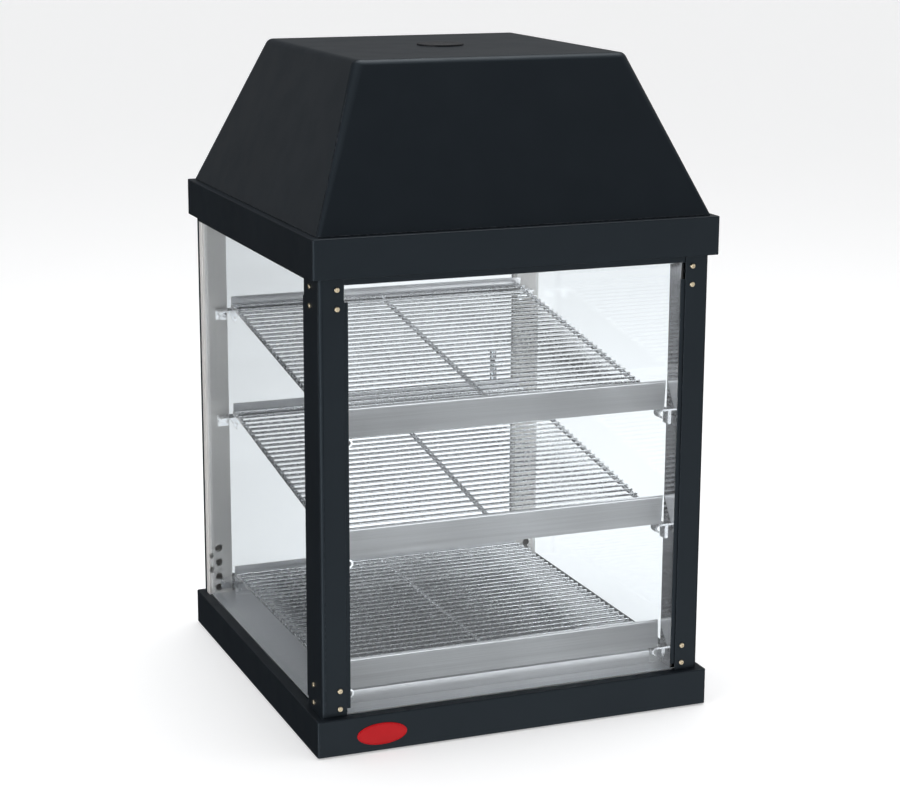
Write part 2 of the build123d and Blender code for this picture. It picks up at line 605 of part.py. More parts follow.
def door_strike():
    inner_y = DOOR_Y - DOOR_GLASS / 2
    return block(140, 170, inner_y - 1.2, inner_y, 484, 498)


def door_magnet():
    inner_y = DOOR_Y - DOOR_GLASS / 2
    body = block(143, 167, 206, inner_y - 1.2 - REST_GAP, 486, LINTEL_BOTTOM)
    return fillet(body.edges().filter_by(Axis.X), 1.0)


# ---- shelves ----
def shelf_plane(name):
    """Origin at the rail's lower front edge, Y up the shelf, Z off its surface."""
    height, tilt = SHELVES[name]
    return Plane(
        origin=(0, SHELF_FRONT_Y, height), x_dir=(1, 0, 0), z_dir=(0, -sin(radians(tilt)), cos(radians(tilt)))
    )


def lying_rod(y0, y1, x, z, radius):
    return Pos(x, (y0 + y1) / 2, z) * Rot(90, 0, 0) * Cylinder(radius, y1 - y0)


def cross_rod(half, y, z, radius):
    return Pos(0, y, z) * Rot(0, 90, 0) * Cylinder(radius, 2 * half)


def shelf_rack(name):
    """Welded wire rack: round frame, a middle rod and close cross wires on top."""
    front, rear = 7.0, SHELF_LENGTH - 5.0
    parts = [lying_rod(front - ROD_R, rear + ROD_R, x, ROD_V, ROD_R) for x in (-ROD_X, 0, ROD_X)]
    parts += [cross_rod(ROD_X + 0.5, y, ROD_V, CROSS_ROD_R) for y in (front, rear)]
    count = int((rear - front - 14) / WIRE_PITCH)
    first = front + (rear - front - count * WIRE_PITCH) / 2
    parts += [cross_rod(ROD_X + 2, first + i * WIRE_PITCH, WIRE_V, WIRE_R) for i in range(count + 1)]
    return shelf_plane(name) * parts[0].fuse(*parts[1:])


def shelf_rail(name):
    """Front rail: a lip under the rack and a face that leans back."""
    lean = radians(RAIL_LEAN)
    top = (RAIL_FACE * sin(lean), RAIL_FACE * cos(lean))
    thick = SHELF_SHEET / cos(lean)
    inside = (thick + SHELF_SHEET * tan(lean), SHELF_SHEET)
    points = [(0, 0), (16, 0), (16, SHELF_SHEET), inside, (top[0] + thick, top[1]), top]
    rail = extruded_yz(points, -SHELF_HALF, SHELF_HALF)
    rail += cross_rod(SHELF_HALF, top[0] + thick / 2 + 0.5, top[1], 1.4)
    for side in (-1, 1):
        ends = ((SHELF_HALF - RAIL_CUTBACK, -1), (SHELF_HALF, RAIL_FACE * 0.9), (SHELF_HALF + 9, -1))
        face = make_face(Polyline(*[(side * x, -5, z) for x, z in ends], close=True))
        rail -= extrude(face, amount=40, dir=(0, 1, 0))
    return shelf_plane(name) * rail


def shelf_back(name):
    """Back strip: a lip under the rack and a low upright face."""
    end = SHELF_LENGTH
    points = [(end - 15, 0), (end, 0), (end, 15), (end - SHELF_SHEET, 15), (end - SHELF_SHEET, SHELF_SHEET)]
    points.append((end - 15, SHELF_SHEET))
    return shelf_plane(name) * extruded_yz(points, -186.0, 186.0)


def front_clip(height):
    """Rolled stainless clip on the inner face of the right front column."""
    face_x = COLUMN_FRONT[0]
    top = height - REST_GAP
    clip = block(face_x - 2, face_x, -206, -194, top - 17, top)
    clip += block(182, face_x, -206, -194, top - 2, top)
    curl = Pos(182, -200, top - 5) * Rot(90, 0, 0) * (Cylinder(5, 12) - Cylinder(3, 12))
    return clip + (curl - block(182, 190, -210, -190, top - 12, top + 2))


def rear_clip(height, tilt):
    """Bracket on the front face of the right rear column, with a pointed gusset."""
    face_y = COLUMN_REAR[2]
    front_y = 193.5
    top = height + (front_y - SHELF_FRONT_Y) * tan(radians(tilt)) - REST_GAP
    clip = block(188.5, 202, face_y - 1.2, face_y, top - 14, top)
    clip += block(178, 202, front_y, face_y, top - 2, top)
    corners = ((178, top - 2), (191, top - 2), (183.5, top - 15))
    outline = Polyline(*[(x, front_y, z) for x, z in corners], close=True)
    return clip + extrude(make_face(outline), amount=1.5, dir=(0, 1, 0))


def shelf_clips():
    clips = []
    for height, tilt in SHELVES.values():
        for clip in (front_clip(height), rear_clip(height, tilt)):
            clips += [clip, clip.mirror(Plane.YZ)]
    return clips


def badge():
    """Plain enamelled oval near the left end of the base front."""
    plate = Pos(-157, -HALF_D, 20.5) * Rot(90, 0, 0) * extrude(Ellipse(28, 12), amount=1.4)
    return fillet(plate.faces().sort_by(Axis.Y)[0].edges(), 0.8)


def build_all():
    pieces = {
        "base_skirt": base_skirt(), "base_plate": base_plate(), "base_feet": base_feet(),
        "deck_pan": deck_pan(), "deck_sills": deck_sills(), "post_screws": post_screws(),
        "glass_strips": glass_strips(), "glass_front": glass_front(),
        "glass_left": glass_side(-1), "glass_right": glass_side(1),
        "header_band": header_band(), "lintel_frame": lintel_frame(), "ceiling_panel": ceiling_panel(),
        "plenum_cover": plenum_cover(), "hood": hood(), "hood_plug": hood_plug(),
        "heating_element": heating_element(), "element_brackets": element_brackets(),
        "inlet_ring": inlet_ring(), "fan_wheel": fan_wheel(), "fan_shaft": fan_shaft(),
        "motor_mount": motor_mount(), "fan_motor": fan_motor(), "limit_switch": limit_switch(),
        "terminal_block": terminal_block(), "lamp_holder": lamp_holder(), "lamp_bulb": lamp_bulb(),
        "control_plate": control_plate(), "thermostat_body": thermostat_body(),
        "thermostat_shaft": thermostat_shaft(), "thermostat_knob": thermostat_knob(),
        "rocker_housing": rocker_housing(), "rocker_button": rocker_button(),
        "pilot_lamp": pilot_lamp(), "cord_gland": cord_gland(),
        "door_glass": door_glass(), "door_hinges": door_hinges(), "hinge_bushes": hinge_bushes(),
        "door_handle": door_handle(), "door_strike": door_strike(), "door_magnet": door_magnet(),
        "shelf_clips": shelf_clips(), "badge": badge(),
    }
    for sx, sy in CORNERS:
        place = ("front" if sy < 0 else "rear") + "_" + ("left" if sx < 0 else "right")
        pieces["post_" + place] = post(sx, sy)
        pieces["column_" + place] = column(sx, sy)
    for name in SHELVES:
        pieces["rack_" + name] = shelf_rack(name)
        pieces["rail_" + name] = shelf_rail(name)
        pieces["back_strip_" + name] = shelf_back(name)
    return pieces


def main():
    os.makedirs("parts", exist_ok=True)
    for node, shape in build_all().items():
        if isinstance(shape, list):
            shape = Compound(children=[item if isinstance(item, Solid) else item.solid() for item in shape])
        shape.label = node
        export_step(shape, os.path.join("parts", node + ".step"))


main()
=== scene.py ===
import json
import math

import bmesh
import bpy
from mathutils import Matrix, Vector

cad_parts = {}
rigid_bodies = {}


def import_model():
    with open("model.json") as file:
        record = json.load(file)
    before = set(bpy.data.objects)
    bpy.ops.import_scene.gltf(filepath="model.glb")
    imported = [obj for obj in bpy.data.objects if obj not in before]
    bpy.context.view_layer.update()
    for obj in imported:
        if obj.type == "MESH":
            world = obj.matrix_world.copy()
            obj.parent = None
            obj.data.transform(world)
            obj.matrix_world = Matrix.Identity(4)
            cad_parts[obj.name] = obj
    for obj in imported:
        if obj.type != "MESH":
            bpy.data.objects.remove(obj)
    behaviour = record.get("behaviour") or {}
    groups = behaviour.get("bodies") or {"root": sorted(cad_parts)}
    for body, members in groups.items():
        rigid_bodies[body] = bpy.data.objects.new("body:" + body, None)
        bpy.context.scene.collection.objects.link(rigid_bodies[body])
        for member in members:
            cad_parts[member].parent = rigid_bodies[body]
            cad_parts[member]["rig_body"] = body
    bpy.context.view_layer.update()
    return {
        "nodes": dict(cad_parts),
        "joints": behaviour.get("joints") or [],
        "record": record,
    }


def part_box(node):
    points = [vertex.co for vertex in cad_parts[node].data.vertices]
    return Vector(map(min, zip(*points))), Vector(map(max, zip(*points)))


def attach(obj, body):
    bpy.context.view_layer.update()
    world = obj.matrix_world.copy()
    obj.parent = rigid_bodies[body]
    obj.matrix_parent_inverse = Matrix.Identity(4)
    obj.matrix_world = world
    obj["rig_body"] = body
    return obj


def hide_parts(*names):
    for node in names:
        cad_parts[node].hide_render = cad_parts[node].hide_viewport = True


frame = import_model()
nodes = frame["nodes"]
slot_of = {row["node"]: row["material_slot"] for row in frame["record"]["subparts"]}
joint_of = {row["name"]: row for row in frame["joints"]}
MM = 0.001


# ---- camera, floor and light ----
CAMERA_AT = Vector((-0.9133, -2.3454, 0.9181))
CAMERA_YAW = 21.56             # degrees to the right of straight ahead
CAMERA_PITCH = 13.52           # degrees down
CAMERA_ROLL = 0.22
LENS = 89.9                    # millimetres, on SENSOR
SENSOR = 36.0


def make_camera():
    data = bpy.data.cameras.new("camera")
    data.lens = LENS
    data.sensor_width = SENSOR
    data.clip_start = 0.1
    data.clip_end = 200.0
    camera = bpy.data.objects.new("camera", data)
    bpy.context.scene.collection.objects.link(camera)
    turn = Matrix.Rotation(math.radians(-CAMERA_YAW), 4, "Z")
    tip = Matrix.Rotation(math.radians(90 - CAMERA_PITCH), 4, "X")
    roll = Matrix.Rotation(math.radians(CAMERA_ROLL), 4, "Z")
    camera.matrix_world = Matrix.Translation(CAMERA_AT) @ turn @ tip @ roll
    bpy.context.scene.camera = camera


def make_area(name, at, aim, width, height, power):
    data = bpy.data.lights.new(name, "AREA")
    data.shape = "RECTANGLE"
    data.size = width
    data.size_y = height
    data.energy = power
    light = bpy.data.objects.new(name, data)
    bpy.context.scene.collection.objects.link(light)
    light.location = at
    light.rotation_mode = "QUATERNION"
    light.rotation_quaternion = (Vector(aim) - Vector(at)).to_track_quat("-Z", "Y")


BACKDROP = (0.93, 0.935, 0.94)  # what the camera sees behind the object
DARKEST = 0.03                 # brightness of the room where nothing lights it


class Shader:
    """Node tree of one material, with the few kinds of node that the finishes use."""

    def __init__(self, name):
        self.material = bpy.data.materials.new(name)
        self.material.use_nodes = True
        self.start(self.material.node_tree, "ShaderNodeOutputMaterial")
        self.place = self.node("ShaderNodeTexCoord").outputs["Object"]

    def start(self, tree, output):
        self.tree = tree
        tree.nodes.clear()
        self.output = self.node(output)

    def node(self, kind, **settings):
        made = self.tree.nodes.new(kind)
        for key, value in settings.items():
            setattr(made, key, value)
        return made

    def feed(self, socket, value):
        """Links an output, or sets a plain value."""
        if isinstance(value, bpy.types.NodeSocket):
            self.tree.links.new(value, socket)
        else:
            socket.default_value = value

    def noise(self, scale, detail=2.0, stretch=(1, 1, 1), distortion=0.0):
        mapping = self.node("ShaderNodeMapping")
        self.feed(mapping.inputs["Vector"], self.place)
        mapping.inputs["Scale"].default_value = stretch
        noise = self.node("ShaderNodeTexNoise")
        self.feed(noise.inputs["Vector"], mapping.outputs["Vector"])
        noise.inputs["Scale"].default_value = scale
        noise.inputs["Detail"].default_value = detail
        noise.inputs["Distortion"].default_value = distortion
        return noise.outputs["Fac"]

    def cells(self, scale):
        voronoi = self.node("ShaderNodeTexVoronoi")
        self.feed(voronoi.inputs["Vector"], self.place)
        voronoi.inputs["Scale"].default_value = scale
        return voronoi.outputs["Distance"]

    def ramp(self, value, low, high, to_low=0.0, to_high=1.0):
        """Smooth step of value: to_low at low, to_high at high."""
        node = self.node("ShaderNodeMapRange", interpolation_type="SMOOTHSTEP")
        self.feed(node.inputs["Value"], value)
        self.feed(node.inputs["From Min"], low)
        self.feed(node.inputs["From Max"], high)
        self.feed(node.inputs["To Min"], to_low)
        self.feed(node.inputs["To Max"], to_high)
        return node.outputs["Result"]

    def math(self, operation, a, b):
        node = self.node("ShaderNodeMath", operation=operation)
        self.feed(node.inputs[0], a)
        self.feed(node.inputs[1], b)
        return node.outputs["Value"]

    def mix(self, factor, a, b):
        node = self.node("ShaderNodeMix", data_type="RGBA")
        self.feed(node.inputs[0], factor)
        for socket, colour in ((node.inputs[6], a), (node.inputs[7], b)):
            self.feed(socket, colour if isinstance(colour, bpy.types.NodeSocket) else (*colour, 1.0))
        return node.outputs[2]

    def bump(self, height, depth, strength=1.0, under=None):
        """Relief of the given depth in metres."""
        node = self.node("ShaderNodeBump")
        node.inputs["Strength"].default_value = strength
        node.inputs["Distance"].default_value = depth
        self.feed(node.inputs["Height"], height)
        if under is not None:
            self.feed(node.inputs["Normal"], under)
        return node.outputs["Normal"]

    def split(self):
        """X, Y and Z of the place being shaded."""
        node = self.node("ShaderNodeSeparateXYZ")
        self.feed(node.inputs[0], self.place)
        return node.outputs

    def edge_mask(self, reach):
        """1 along convex and concave edges, fading to 0 within reach metres of them."""
        bevel = self.node("ShaderNodeBevel", samples=4)
        bevel.inputs["Radius"].default_value = reach
        flat = self.node("ShaderNodeNewGeometry").outputs["Normal"]
        dot = self.node("ShaderNodeVectorMath", operation="DOT_PRODUCT")
        self.feed(dot.inputs[0], bevel.outputs["Normal"])
        self.feed(dot.inputs[1], flat)
        return self.ramp(dot.outputs["Value"], 0.985, 0.86)

    def mirrored(self):
        """1 for light that met a surface on its way, 0 for what the camera sees directly."""
        paths = self.node("ShaderNodeLightPath")
        bounces = self.math("ADD", paths.outputs["Glossy Depth"], paths.outputs["Diffuse Depth"])
        return self.math("GREATER_THAN", bounces, 0.5)

    def surface(self, colour, roughness, metallic=0.0, normal=None, **plain):
        """Principled shader; plain holds values set on its sockets, named with _ for a space."""
        shader = self.node("ShaderNodeBsdfPrincipled")
        colour = colour if isinstance(colour, bpy.types.NodeSocket) else (*colour, 1.0)
        self.feed(shader.inputs["Base Color"], colour)
        self.feed(shader.inputs["Roughness"], roughness)
        self.feed(shader.inputs["Metallic"], metallic)
        if normal is not None:
            self.feed(shader.inputs["Normal"], normal)
        for key, value in plain.items():
            self.feed(shader.inputs[key.replace("_", " ")], value)
        self.tree.links.new(shader.outputs[0], self.output.inputs["Surface"])
        return shader

    def clear_where(self, factor, shader, tint=(1.0, 1.0, 1.0)):
        """Makes the surface see-through where factor is 1, and leaves it as shader elsewhere."""
        clear = self.node("ShaderNodeBsdfTransparent")
        clear.inputs["Color"].default_value = (*tint, 1.0)
        blend = self.node("ShaderNodeMixShader")
        self.feed(blend.inputs[0], factor)
        self.feed(blend.inputs[1], shader.outputs[0])
        self.feed(blend.inputs[2], clear.outputs[0])
        self.feed(self.output.inputs["Surface"], blend.outputs[0])


class Sky(Shader):
    """The studio round the object, as its surfaces reflect it.

    It is bright overhead and low in front, paler at the right, dim behind and dark at the left, where
    one narrow strip picks out the edges. The camera itself sees an even pale backdrop.
    """

    def __init__(self):
        world = bpy.data.worlds.new("studio")
        bpy.context.scene.world = world
        world.use_nodes = True
        self.start(world.node_tree, "ShaderNodeOutputWorld")
        self.place = self.node("ShaderNodeTexCoord").outputs["Generated"]
        colour = self.mix(self.mirrored(), BACKDROP, self.room())
        background = self.node("ShaderNodeBackground")
        self.feed(background.inputs["Color"], colour)
        self.tree.links.new(background.outputs[0], self.output.inputs["Surface"])

    def room(self):
        x, y, z = self.split()
        overhead = self.ramp(z, 0.56, 0.92, 0.0, 0.98)
        ahead = self.ramp(y, -0.15, -0.85)
        bounce = self.math("MULTIPLY", ahead, self.ramp(z, 0.16, -0.22, 0.0, 1.65))
        right = self.math("MULTIPLY", self.ramp(x, 0.3, 0.95, 0.0, 0.38), self.ramp(z, -0.6, 0.2))
        level = self.math("MULTIPLY", self.ramp(z, -0.04, 0.06), self.ramp(z, 0.5, 0.25))
        behind = self.math("MULTIPLY", self.ramp(y, 0.35, 0.8, 0.0, 0.20), level)
        side = self.math("MULTIPLY", self.ramp(x, -0.72, -0.86), self.ramp(x, -0.98, -0.90))
        strip = self.math("MULTIPLY", side, self.ramp(y, 0.0, -0.2, 0.0, 6.0))
        light = DARKEST
        for part in (overhead, bounce, right, behind, strip):
            light = self.math("ADD", part, light)
        return light


def floor_paper():
    """White paper that shows to the camera but not in the object's reflections."""
    s = Shader("floor_paper")
    tone = s.mix(s.noise(3.0), (0.70, 0.70, 0.705), (0.72, 0.72, 0.725))
    grain = s.bump(s.noise(900.0), 0.0001, 0.15)
    sheet = s.surface(tone, 0.9, normal=grain, Specular_IOR_Level=0.1)
    sheet.inputs["Emission Color"].default_value = (*BACKDROP, 1.0)
    sheet.inputs["Emission Strength"].default_value = 0.42
    bounces = s.node("ShaderNodeLightPath").outputs["Glossy Depth"]
    s.clear_where(s.math("GREATER_THAN", bounces, 0.5), sheet)
    return s.material


def make_floor():
    half = 40.0
    corners = [(-half, -half, 0), (half, -half, 0), (half, half, 0), (-half, half, 0)]
    mesh = bpy.data.meshes.new("floor")
    mesh.from_pydata(corners, [], [(0, 1, 2, 3)])
    floor = bpy.data.objects.new("floor", mesh)
    bpy.context.scene.collection.objects.link(floor)
    mesh.materials.append(floor_paper())


def make_studio():
    Sky()
    make_area("overhead_box", (0.35, 0.25, 2.8), (0, 0, 0.4), 1.8, 1.8, 42)
    make_area("front_box", (2.6, -1.3, 1.3), (0, 0, 0.4), 0.9, 1.6, 6)
    make_area("left_fill", (-1.9, 0.3, 0.7), (0, 0, 0.35), 1.0, 1.0, 7)
    make_floor()
    bpy.context.scene.view_settings.view_transform = "Standard"


# ---- finishes ----
def black_coat():
    """Baked black paint with a fine peel, a little paler where edges are rubbed."""
    s = Shader("black_coat")
    worn = s.math("MULTIPLY", s.edge_mask(0.0010), s.ramp(s.noise(260.0, 4.0), 0.40, 0.62))
    tone = s.mix(s.noise(9.0, 3.0), (0.0046, 0.0064, 0.0088), (0.0072, 0.0098, 0.0132))
    tone = s.mix(worn, tone, (0.052, 0.058, 0.066))
    rough = s.ramp(s.noise(26.0, 5.0), 0.35, 0.75, 0.41, 0.45)
    peel = s.bump(s.noise(620.0, 1.5), 0.00010, 0.30)
    grain = s.bump(s.noise(2600.0, 2.0), 0.00003, 0.35, peel)
    blue = (0.70, 0.87, 1.0, 1.0)
    s.surface(tone, rough, normal=grain, Specular_IOR_Level=0.24, Specular_Tint=blue)
    return s.material


STAINLESS = (0.95, 0.95, 0.965)
WARM_STAINLESS = (0.88, 0.86, 0.84)
# Painted shade on the deck under the bottom rack: its colour, the half-extents of its area in metres and
# the width of its soft edge.
PAINTED_RACK_SHADE = (0.045, 0.055, 0.07)
RACK_HALF_X = 0.158            # from the deck's middle to the sides of the area of painted shade under the bottom rack
RACK_HALF_Y = 0.172
RACK_FADE = 0.012


def brushed(name, along, rough=(0.28, 0.40), anisotropy=0.6, shade=STAINLESS, metallic=0.80, cover=None):
    """Sheet brushed along one axis: long streaks in tone, roughness and relief.

    cover, where given, takes the shader and the plain tone and returns the tone to use.
    """
    s = Shader(name)
    axis = "xyz".index(along)
    stretch = [1.0, 1.0, 1.0]
    stretch[axis] = 0.004
    fine = s.noise(1700.0, 2.0, stretch)
    broad = s.noise(230.0, 2.0, stretch)
    streaks = s.math("ADD", s.math("MULTIPLY", fine, 0.55), s.math("MULTIPLY", broad, 0.45))
    tone = s.mix(s.ramp(streaks, 0.3, 0.7), tuple(0.87 * value for value in shade), shade)
    if cover:
        tone = cover(s, tone)
    clouds = s.math("MULTIPLY", s.noise(13.0, 4.0), 0.4)
    mixed = s.math("ADD", s.math("MULTIPLY", streaks, 0.6), clouds)
    relief = s.bump(streaks, 0.000012, 0.6)
    direction = s.node("ShaderNodeCombineXYZ")
    direction.inputs[axis].default_value = 1.0
    shader = s.surface(tone, s.ramp(mixed, 0.35, 0.65, *rough), metallic, relief, Anisotropic=anisotropy)
    s.feed(shader.inputs["Tangent"], direction.outputs[0])
    return s.material


def painted_shade_under_rack(s, tone):
    """Darkens the deck's tone with painted shade where it lies under the bottom rack, by an amount that
    varies at random.
    """
    x, y, _ = s.split()
    inside = 1.0
    for value, half in ((x, RACK_HALF_X), (y, RACK_HALF_Y)):
        edge = s.ramp(s.math("ABSOLUTE", value, 0.0), half, half - RACK_FADE)
        inside = s.math("MULTIPLY", edge, inside)
    # how strong the painted shade is, varying at random across the area
    shade_strength = s.ramp(s.noise(22.0, 4.0), 0.3, 0.7, 0.62, 0.78)
    return s.mix(s.math("MULTIPLY", inside, shade_strength), tone, PAINTED_RACK_SHADE)


def polished_steel():
    s = Shader("polished_steel")
    streak = s.noise(420.0, 2.0, (1, 1, 0.02))
    tone = s.mix(s.noise(11.0), (0.60, 0.605, 0.62), (0.68, 0.68, 0.69))
    rough = s.ramp(streak, 0.35, 0.7, 0.07, 0.15)
    sway = s.bump(s.noise(7.0, 1.0), 0.0006, 0.12)
    s.surface(tone, rough, 1.0, s.bump(streak, 0.000006, 0.5, sway))
    return s.material


def bright_wire():
    s = Shader("bright_wire")
    tone = s.mix(s.noise(60.0, 3.0), (0.74, 0.75, 0.77), (0.88, 0.88, 0.89))
    rough = s.ramp(s.noise(240.0, 3.0), 0.35, 0.7, 0.16, 0.34)
    s.surface(tone, rough, 1.0, s.bump(s.noise(500.0, 1.0), 0.00001, 0.3))
    return s.material


def coated_sheet():
    s = Shader("coated_sheet")
    spangle = s.cells(70.0)
    tone = s.mix(spangle, (0.40, 0.40, 0.405), (0.58, 0.585, 0.59))
    rough = s.ramp(s.noise(45.0, 4.0), 0.3, 0.7, 0.38, 0.58)
    s.surface(tone, rough, 0.9, s.bump(s.noise(700.0), 0.00003, 0.4))
    return s.material


GLASS_IOR = 1.27               # low, so that the panes stay clear at a slant


def glass(name, tint, roughness):
    """Clear glass that lets the lamps' light through to what is behind it."""
    s = Shader(name)
    smear = s.noise(9.0, 4.0, (1, 1, 0.4), 0.8)
    rough = s.ramp(smear, 0.5, 0.8, roughness, roughness + 0.006)
    shader = s.surface(tint, rough, Transmission_Weight=1.0, IOR=GLASS_IOR)
    s.clear_where(s.node("ShaderNodeLightPath").outputs["Is Shadow Ray"], shader, tint)
    return s.material


def plated(name, low, high):
    s = Shader(name)
    tone = s.mix(s.noise(180.0, 4.0), low, high)
    rough = s.ramp(s.noise(500.0, 3.0), 0.35, 0.7, 0.22, 0.42)
    s.surface(tone, rough, 1.0, s.bump(s.noise(1200.0), 0.00003, 0.4))
    return s.material


def moulded(name, low, high, rough, grain_depth=0.00004, **plain):
    """Moulded plastic, rubber or enamel with a fine grain."""
    s = Shader(name)
    tone = s.mix(s.noise(40.0, 3.0), low, high)
    gloss = s.ramp(s.noise(120.0, 4.0), 0.3, 0.7, *rough)
    s.surface(tone, gloss, 0.0, s.bump(s.noise(1800.0, 2.0), grain_depth, 0.5), **plain)
    return s.material


def heater_sheath():
    """Heat-stained tube."""
    s = Shader("heater_sheath")
    tint = s.mix(s.noise(35.0, 4.0), (0.10, 0.085, 0.08), (0.28, 0.21, 0.15))
    rough = s.ramp(s.noise(90.0, 3.0), 0.3, 0.7, 0.38, 0.6)
    s.surface(tint, rough, 0.9, s.bump(s.noise(600.0), 0.00004, 0.4))
    return s.material


def motor_steel():
    """Stacked motor plates."""
    s = Shader("motor_steel")
    plates = s.noise(2200.0, 0.0, (0.01, 0.01, 1))
    tone = s.mix(plates, (0.10, 0.10, 0.105), (0.36, 0.355, 0.35))
    rough = s.ramp(s.noise(80.0, 3.0), 0.3, 0.7, 0.4, 0.62)
    s.surface(tone, rough, 0.85, s.bump(plates, 0.0002, 0.6))
    return s.material


def metals():
    warm_upright = brushed("brushed_upright", "z", (0.42, 0.54), 0.3, WARM_STAINLESS, 0.5)
    return {
        "polished_steel": polished_steel(),
        "brushed_stainless": brushed("brushed_stainless", "x"),
        "brushed_upright": warm_upright,
        # the deck's brushed steel, with painted shade laid into its tone under the bottom rack
        "brushed_deck": brushed("brushed_deck", "x", cover=painted_shade_under_rack),
        "bright_wire": bright_wire(),
        "coated_sheet": coated_sheet(),
        "brass_screw": plated("brass_screw", (0.42, 0.36, 0.25), (0.62, 0.54, 0.40)),
        "heater_sheath": heater_sheath(),
        "motor_steel": motor_steel(),
        "filament": plated("filament", (0.30, 0.28, 0.26), (0.48, 0.45, 0.42)),
    }


def plastics():
    fine = 0.00001
    return {
        "rubber_black": moulded("rubber_black", (0.012, 0.012, 0.012), (0.03, 0.03, 0.03), (0.7, 0.9)),
        "black_plastic": moulded(
            "black_plastic", (0.006, 0.007, 0.009), (0.012, 0.013, 0.016), (0.42, 0.56),
            Specular_IOR_Level=0.25,
        ),
        "rocker_plastic": moulded(
            "rocker_plastic", (0.02, 0.02, 0.022), (0.03, 0.03, 0.032), (0.18, 0.3), fine,
        ),
        "nylon": moulded("nylon", (0.62, 0.61, 0.56), (0.74, 0.73, 0.68), (0.35, 0.5)),
        "ceramic": moulded("ceramic", (0.74, 0.73, 0.69), (0.84, 0.83, 0.79), (0.12, 0.22), fine),
        "red_lens": moulded(
            "red_lens", (0.55, 0.03, 0.015), (0.70, 0.05, 0.02), (0.08, 0.16), fine,
            Transmission_Weight=0.35,
        ),
        "print_white": moulded(
            "print_white", (0.70, 0.70, 0.68), (0.80, 0.80, 0.78), (0.45, 0.6), fine,
        ),
        "red_enamel": moulded(
            "red_enamel", (0.50, 0.006, 0.010), (0.66, 0.012, 0.018), (0.10, 0.18), fine,
            Specular_IOR_Level=0.12,
        ),
    }


def make_finishes():
    """Every finish by its slot's name, and a few more that share another's slot."""
    rest = {
        "black_coat": black_coat(),
        "clear_glass": glass("clear_glass", (0.950, 0.977, 0.992), 0.0),
        "bulb_glass": glass("bulb_glass", (0.99, 0.985, 0.97), 0.02),
    }
    return {**metals(), **plastics(), **rest}


def finish_for(node):
    """A node's finish: the deck and the rear liner columns have their own, the rest follow their slots."""
    if node == "deck_pan":
        return finishes["brushed_deck"]
    if node.startswith("column_rear"):
        return finishes["brushed_upright"]
    return finishes[slot_of[node]]


def paint(obj, finish):
    obj.data.materials.clear()
    obj.data.materials.append(finish)


def smooth_mesh(name, form, sharp_degrees):
    """Mesh of the finished form, smooth but for edges sharper than the angle."""
    mesh = bpy.data.meshes.new(name)
    form.to_mesh(mesh)
    form.free()
    mesh.polygons.foreach_set("use_smooth", [True] * len(mesh.polygons))
    mesh.set_sharp_from_angle(angle=math.radians(sharp_degrees))
    return mesh


def place(name, mesh):
    piece = bpy.data.objects.new(name, mesh)
    bpy.context.scene.collection.objects.link(piece)
    return piece


# ---- sheet metal with eased folds and edges ----
SHARP = math.radians(28)
LEAST_EDGE = 0.004             # shorter edges, as the facets of round holes are, stay as they are


def is_fold(edge):
    if len(edge.link_faces) != 2 or edge.calc_length() <= LEAST_EDGE:
        return False
    return edge.calc_face_angle(0) > SHARP


def eased(node, width):
    """The node's own form with its long folds and cut edges rounded by width, in the node's place."""
    form = bmesh.new()
    form.from_mesh(nodes[node].data)
    bmesh.ops.remove_doubles(form, verts=form.verts, dist=1e-6)
    flat = math.radians(0.5)
    bmesh.ops.dissolve_limit(form, angle_limit=flat, verts=form.verts, edges=form.edges)
    folds = [edge for edge in form.edges if is_fold(edge)]
    bmesh.ops.bevel(
        form, geom=folds, offset=width, offset_type="OFFSET", segments=2, profile=0.5, affect="EDGES",
    )
    bmesh.ops.triangulate(form, faces=[face for face in form.faces if len(face.verts) > 4])
    name = node + "_eased"
    piece = place(name, smooth_mesh(name, form, 50))
    weighted = piece.modifiers.new("weighted", "WEIGHTED_NORMAL")
    weighted.keep_sharp = True
    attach(piece, nodes[node]["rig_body"])
    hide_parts(node)
    paint(piece, finish_for(node))


def ease_sheet_metal():
    """Every folded or cut sheet, strip and pane gets its small edge radius."""
    posts = [name for name in nodes if name.startswith("post_") and name != "post_screws"]
    liners = [name for name in nodes if name.startswith(("column_", "rail_", "back_strip_"))]
    widths = {
        0.45 * MM: ["header_band", "lintel_frame", "base_skirt", "glass_strips"] + posts,
        0.25 * MM: ["deck_pan", "deck_sills", "plenum_cover", "base_plate", "ceiling_panel"] + liners,
        0.35 * MM: [
            "glass_front", "glass_left", "glass_right", "door_glass", "door_strike", "door_magnet",
        ],
    }
    for width, names in widths.items():
        for name in names:
            eased(name, width)


# ---- small pieces drawn on their own ----
def add_piece(name, form, body, finish, slot, *replaced):
    piece = place(name, smooth_mesh(name, form, 40))
    paint(piece, finishes[finish])
    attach(piece, body)
    if replaced:
        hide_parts(*replaced)


def circle(count):
    """Angles of count points round a circle."""
    return [2 * math.pi * k / count for k in range(count)]


def join_rings(form, rings, closed=False):
    """Walls of quads between neighbouring rings; a ring of one vertex is a tip."""
    steps = max(len(ring) for ring in rings)
    pairs = list(zip(rings, rings[1:]))
    if closed:
        pairs.append((rings[-1], rings[0]))
    for low, high in pairs:
        for k in range(steps):
            after = k + 1
            quad = [
                low[k % len(low)], low[after % len(low)],
                high[after % len(high)], high[k % len(high)],
            ]
            form.faces.new(list(dict.fromkeys(quad)))


def lathe(profile, at, steps=48):
    """Closed solid of revolution about an upright axis; profile runs (radius, height), ends on the axis."""
    form = bmesh.new()
    rings = []
    for radius, height in profile:
        turns = circle(steps) if radius > 1e-7 else [0.0]
        rings.append([])
        for turn in turns:
            spot = Vector((radius * math.cos(turn), radius * math.sin(turn), height))
            rings[-1].append(form.verts.new(at + spot))
    join_rings(form, rings)
    bmesh.ops.recalc_face_normals(form, faces=form.faces)
    return form


